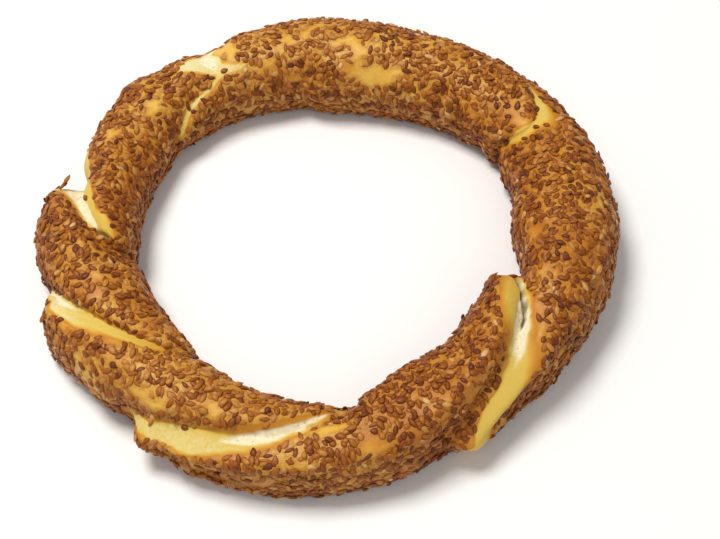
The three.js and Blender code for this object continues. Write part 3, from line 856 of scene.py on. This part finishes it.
def crust_material(colours):
    """Baked wheat dough glazed with grape molasses: amber to gold between the seeds, satin and a little
    translucent, matte yellow where it tore in the oven, cream and porous at the crumb, charred underneath.
    Round each seed it is browned, partly as syrup stain and partly as the seed's painted shadow, the rifts in
    the torn seams hold painted shade, and it grows darker towards the tray."""
    material, add = new_material("baked molasses-glazed dough")
    place = add("TexCoord", output="Object")
    bare, pale, crumb, shaded_rift, stain_and_shadow, under, toast, low = (
        add("Attribute", output="Fac", attribute_name=name)
        for name in ("bare", "pale", "crumb", "shaded_rift", "stain_and_shadow", "under", "toast", "low"))
    patches, grain, pores = (
        add("TexNoise", {"Vector": place, "Scale": scale, "Detail": detail, "Roughness": roughness})
        for scale, detail, roughness in ((160.0, 5.0, 0.6), (900.0, 4.0, 0.65), (1000.0, 4.0, 0.55)))

    toasted = add("Math", (patches, toast), operation="ADD")
    toasted = add("Math", (toasted, 0.5), operation="MULTIPLY")
    colour = add("ValToRGB", (toasted,), stops=(
        (0.3, "#c07a22"), (0.42, "#d2922e"), (0.54, "#dda83f"), (0.68, colours.glaze)))
    tears = add("Math", (pale, 0.94), operation="MULTIPLY")
    tears = add("Math", (grain, 0.12, tears), operation="MULTIPLY_ADD")
    torn = add("ValToRGB", (tears,), stops=(
        (0.06, "#ba761c"), (0.3, "#c78824"), (0.55, "#d09830"), (0.74, "#d4a43a"), (0.93, colours.torn),
        (1.0, "#e2d69e")))
    open_crumb = add("ValToRGB", (pores,), stops=(
        (0.3, "#c9ae70"), (0.37, "#e8d6a6"), (0.5, colours.crumb), (0.7, "#f3e9cc")))
    scorch = add("ValToRGB", (grain,), stops=(
        (0.3, "#2a211b"), (0.45, "#3d3129"), (0.58, "#52453a"), (0.72, "#75644e")))

    # round each seed the crust is darkened, partly as the syrup's stain and partly as the seed's painted
    # shadow; blot adds random brown patches
    blot = add("MapRange", {"Value": grain, "From Min": 0.38, "From Max": 0.62})
    deep = add("Math", (stain_and_shadow, 0.28), operation="MULTIPLY")
    browned_and_shaded = add("Math", (stain_and_shadow, 0.35, 0.1), operation="MULTIPLY_ADD")
    browned_and_shaded = add("Math", (blot, browned_and_shaded, deep), operation="MULTIPLY_ADD")
    # the crust darker towards the tray, over the lowest 12 mm of the dough
    darker_low = add("Math", (low, 0.6), operation="MULTIPLY")
    # painted shade: the rifts at the bottom of the torn seams are darkened to olive brown
    gap = add("Math", (shaded_rift, 0.85), operation="MULTIPLY")
    for share, over in ((browned_and_shaded, "#a05a1a"), (darker_low, "#8f5214"), (bare, torn), (crumb, open_crumb),
                        (gap, "#67522d"), (under, scorch)):
        colour = add("Mix", {0: share, MIX_A: colour, MIX_B: over}, MIX_RESULT, data_type="RGBA")

    dryness = add("Math", (bare, 0.16, 0.42), operation="MULTIPLY_ADD")
    dryness = add("Math", (crumb, 0.35, dryness), operation="MULTIPLY_ADD", use_clamp=True)
    relief = add("Math", (pores, crumb, grain), operation="MULTIPLY_ADD")
    bump = add("Bump", {"Height": relief, "Strength": 0.45, "Distance": 0.0004})
    shader = add("BsdfPrincipled", {
        "Base Color": colour, "Roughness": dryness, "Normal": bump, "IOR": 1.45, "Specular IOR Level": 0.3,
        "Subsurface Weight": 0.18, "Subsurface Radius": (1.0, 0.55, 0.2), "Subsurface Scale": 0.0015})
    add("OutputMaterial", (shader,))
    return material


def seed_material(name, stops, tip, roughness, coat):
    """Sesame: an oily, faintly ribbed skin, darker at the pointed end, a little different on every seed."""
    material, add = new_material(name)
    place = add("TexCoord", output="Object")
    tone, point = (add("Attribute", output="Fac", attribute_name=name) for name in ("tone", "tip"))
    mottle = add("TexNoise", {"Vector": place, "Scale": 800.0, "Detail": 3.0})
    share = add("Math", (mottle, 0.5, tone), operation="MULTIPLY_ADD")
    share = add("Math", (share, 0.25), operation="SUBTRACT")
    skin = add("ValToRGB", (share,), stops=stops)
    ends = add("MapRange", {"Value": point, "From Min": 0.6, "From Max": 1.0, "To Max": 0.6})
    colour = add("Mix", {0: ends, MIX_A: skin, MIX_B: tip}, MIX_RESULT, data_type="RGBA")
    bump = add("Bump", {"Height": mottle, "Strength": 0.2, "Distance": 0.0003})
    shader = add("BsdfPrincipled", {
        "Base Color": colour, "Roughness": roughness, "Normal": bump, "IOR": 1.47,
        "Specular IOR Level": 0.26, "Coat Weight": coat, "Coat Roughness": 0.2, "Subsurface Weight": 0.08,
        "Subsurface Radius": (1.0, 0.5, 0.2), "Subsurface Scale": 0.0008})
    add("OutputMaterial", (shader,))
    return material


# The skins of the sesame: what it is, its colours from the darkest seed to the palest, the colour of the
# pointed end, the roughness and the weight of the oily coat.
SESAME = {
    "sesame_dark": ("dark toasted sesame", (
        (0.0, "#622b06"), (0.5, "#7e3d09"), (1.0, "#95500e")), "#4f2304", 0.45, 0.05),
    "sesame_brown": ("brown toasted sesame", (
        (0.0, "#7c3e0b"), (0.5, "#934f0f"), (1.0, "#a86316")), "#643008", 0.46, 0.05),
    "sesame_toasted": ("toasted sesame", (
        (0.0, "#914e16"), (0.4, "#a35e1b"), (0.75, "#b26f26"), (1.0, "#bd7e34")), "#764013", 0.47, 0.05),
    "sesame_golden": ("golden sesame", (
        (0.0, "#ac6c2a"), (0.5, "#ba7f3a"), (0.85, "#c7914c"), (1.0, "#d6aa70")), "#945a20", 0.47, 0.05),
    "sesame_scorched": ("scorched sesame", (
        (0.0, "#2b211b"), (0.5, "#44372d"), (1.0, "#665644")), "#241b15", 0.5, 0.1),
    "sesame_pale": ("pale sesame", (
        (0.0, "#a8935f"), (0.5, "#cdbf92"), (1.0, "#e2dab9")), "#b39a62", 0.42, 0.15),
}


def floor_material(colour):
    """Matte laminate, nearly white, with a faint cloudiness."""
    material, add = new_material("matte laminate")
    place = add("TexCoord", output="Object")
    haze = add("TexNoise", {"Vector": place, "Scale": 6.0, "Detail": 2.0})
    shade = add("Mix", {0: haze, MIX_A: opaque(colour), MIX_B: "#f7f6f4"}, MIX_RESULT, data_type="RGBA")
    add("OutputMaterial", (add("BsdfPrincipled", {"Base Color": shade, "Roughness": 0.8}),))
    return material


# ======== camera and light ========

CAMERA_TARGET = (9.23, -4.92, 0.0)
CAMERA_DISTANCE = 477.6
CAMERA_ELEVATION = 55  # degrees above the floor
LENS = 80  # focal length
KEY_LIGHT = ((-0.3, 0.15, 0.95), 0.42, (1.0, 0.985, 0.96))  # place and diameter in metres, colour
FILL_LIGHT = ((0.3, -0.9, 0.7), 0.9, (1.0, 1.0, 1.0))
WORLD_STRENGTH = 0.35


def look(made, place, target):
    """Puts a camera or light at a place with its own -Z towards the target."""
    made.location = place
    made.rotation_euler = (Vector(target) - Vector(place)).to_track_quat("-Z", "Y").to_euler()
    bpy.context.scene.collection.objects.link(made)


def place_camera():
    """The camera: straight in front of its target, raised by its elevation, at its distance."""
    data = bpy.data.cameras.new("camera")
    data.lens = LENS
    data.clip_start = 0.01
    camera = bpy.data.objects.new("camera", data)
    slant = math.radians(CAMERA_ELEVATION)
    target = Vector(CAMERA_TARGET) * MM
    look(camera, target + Vector((0, -math.cos(slant), math.sin(slant))) * CAMERA_DISTANCE * MM, target)
    bpy.context.scene.camera = camera


def place_softbox(name, watts, place, size, colour):
    """A round light of that diameter, in metres as its place is, turned to the object."""
    data = bpy.data.lights.new(name, "AREA")
    data.shape = "DISK"
    data.size = size
    data.energy = watts
    data.color = colour
    look(bpy.data.objects.new(name, data), place, (0, 0, 0.01))


# ======== the add-on ========

COLOUR = {"min": 0, "max": 1, "subtype": "COLOR"}
SHARE = {"min": 0, "max": 1, "subtype": "FACTOR"}


class SIMIT_PG_stage(bpy.types.PropertyGroup):
    """The floor and the light."""
    floor_size: FloatProperty(
        name="Floor size", description="Width of the floor", default=4.0, min=0.5, unit="LENGTH")
    floor_colour: FloatVectorProperty(
        name="Floor colour", description="Colour of the floor", default=linear("#f3f2f0"), **COLOUR)
    key_watts: FloatProperty(
        name="Key light", description="Power of the large light overhead", default=8.7, min=0)
    fill_watts: FloatProperty(
        name="Fill light", description="Power of the light beside the camera", default=2.1, min=0)


class SIMIT_PG_dough(bpy.types.PropertyGroup):
    """The dough's colours."""
    glaze: FloatVectorProperty(
        name="Glaze", description="Colour of the bald crust where it baked lightest",
        default=linear("#e4b54e"), **COLOUR)
    torn: FloatVectorProperty(
        name="Torn dough", description="Colour of the dough where it tore open in the oven",
        default=linear("#d7b853"), **COLOUR)
    crumb: FloatVectorProperty(
        name="Crumb", description="Colour of the open crumb", default=linear("#efe2be"), **COLOUR)


class SIMIT_PG_seeds(bpy.types.PropertyGroup):
    """The sesame."""
    length: FloatProperty(
        name="Seed length", description="Length of a middling seed", default=SEED_LONG * MM, min=0.001,
        precision=4, unit="LENGTH")
    dark_share: FloatProperty(
        name="Dark seeds", description="Share of the seeds that baked dark", default=0.22, **SHARE)
    brown_share: FloatProperty(
        name="Brown seeds", description="Share of the seeds that baked brown", default=0.3, **SHARE)
    golden_share: FloatProperty(
        name="Golden seeds", description="Share of the seeds that stayed golden", default=0.2, **SHARE)
    pale_share: FloatProperty(
        name="Pale seeds below", description="Share of the seeds underneath that stayed pale", default=0.2,
        **SHARE)


def build_kinds(seeds, names, kind, length, flatter, first_seed):
    """One object for each kind of sesame, of the seeds that have its number."""
    for number, name in enumerate(names):
        build_seeds(name, chosen(seeds, kind == number), length / MM, seed_material(*SESAME[name]), flatter,
                    first_seed + number)


class SIMIT_OT_dough(bpy.types.Operator):
    """Adds the baked dough"""
    bl_idname = "simit.dough"
    bl_label = "Add dough"

    def execute(self, context):
        build_dough(crust_material(context.scene.simit_dough))
        return {"FINISHED"}


class SIMIT_OT_top_seeds(bpy.types.Operator):
    """Adds the sesame on the crust, from dark to golden"""
    bl_idname = "simit.top_seeds"
    bl_label = "Add sesame on the crust"

    def execute(self, context):
        settings = context.scene.simit_seeds
        seeds = top_seeds()
        shade = seeds["lot"][:, 3]
        baked = toasting(seeds["ring"], seeds["section"])
        dark = settings.dark_share * blend(*DARK_GROWS, baked)
        brown = dark + settings.brown_share * blend(*BROWN_GROWS, baked)
        golden = 1 - settings.golden_share * blend(*GOLDEN_SHRINKS, baked)
        kind = np.sum((shade >= dark, shade >= brown, (shade >= brown) & (shade >= golden)), axis=0)
        build_kinds(seeds, ("sesame_dark", "sesame_brown", "sesame_toasted", "sesame_golden"), kind,
                    settings.length, 1.0, 2)
        return {"FINISHED"}


class SIMIT_OT_under_seeds(bpy.types.Operator):
    """Adds the scorched and the pale sesame pressed into the underside"""
    bl_idname = "simit.under_seeds"
    bl_label = "Add sesame underneath"

    def execute(self, context):
        settings = context.scene.simit_seeds
        seeds = under_seeds()
        pale = seeds["lot"][:, 3] < settings.pale_share
        build_kinds(seeds, ("sesame_scorched", "sesame_pale"), pale, settings.length, UNDER_FLATTER, 6)
        return {"FINISHED"}


class SIMIT_OT_stage(bpy.types.Operator):
    """Adds the floor, the lights and the camera"""
    bl_idname = "simit.stage"
    bl_label = "Add floor, lights and camera"

    def execute(self, context):
        settings = context.scene.simit_stage
        half = settings.floor_size / 2
        mesh = bpy.data.meshes.new("floor")
        mesh.from_pydata([(-half, -half, 0), (half, -half, 0), (half, half, 0), (-half, half, 0)], [],
                         [(0, 1, 2, 3)])
        mesh.materials.append(floor_material(settings.floor_colour))
        floor = bpy.data.objects.new("floor", mesh)
        context.scene.collection.objects.link(floor)
        place_camera()
        place_softbox("key", settings.key_watts, *KEY_LIGHT)
        place_softbox("fill", settings.fill_watts, *FILL_LIGHT)
        world = bpy.data.worlds.new("studio")
        world.use_nodes = True
        background = world.node_tree.nodes["Background"].inputs
        background["Color"].default_value = (1, 1, 1, 1)
        background["Strength"].default_value = WORLD_STRENGTH
        context.scene.world = world
        context.scene.view_settings.view_transform = "Standard"
        return {"FINISHED"}


class SIMIT_PT_panel(bpy.types.Panel):
    """Lists what can be added, and the sizes and colours"""
    bl_label = "Simit"
    bl_idname = "SIMIT_PT_panel"
    bl_space_type = "VIEW_3D"
    bl_region_type = "UI"
    bl_category = "Simit"

    def draw(self, context):
        for maker in MAKERS:
            self.layout.operator(maker.bl_idname)
        for group in (getattr(context.scene, name) for name in GROUPS):
            for name in group.__annotations__:
                self.layout.prop(group, name)


GROUPS = {"simit_dough": SIMIT_PG_dough, "simit_seeds": SIMIT_PG_seeds, "simit_stage": SIMIT_PG_stage}
MAKERS = (SIMIT_OT_stage, SIMIT_OT_dough, SIMIT_OT_top_seeds, SIMIT_OT_under_seeds)
CLASSES = (*GROUPS.values(), *MAKERS, SIMIT_PT_panel)


def register():
    for made in CLASSES:
        bpy.utils.register_class(made)
    for name, group in GROUPS.items():
        setattr(bpy.types.Scene, name, PointerProperty(type=group))


def unregister():
    for name in GROUPS:
        delattr(bpy.types.Scene, name)
    for made in reversed(CLASSES):
        bpy.utils.unregister_class(made)


def main():
    register()
    bpy.ops.simit.stage()
    bpy.ops.simit.dough()
    bpy.ops.simit.top_seeds()
    bpy.ops.simit.under_seeds()


if __name__ == "__main__":
    main()
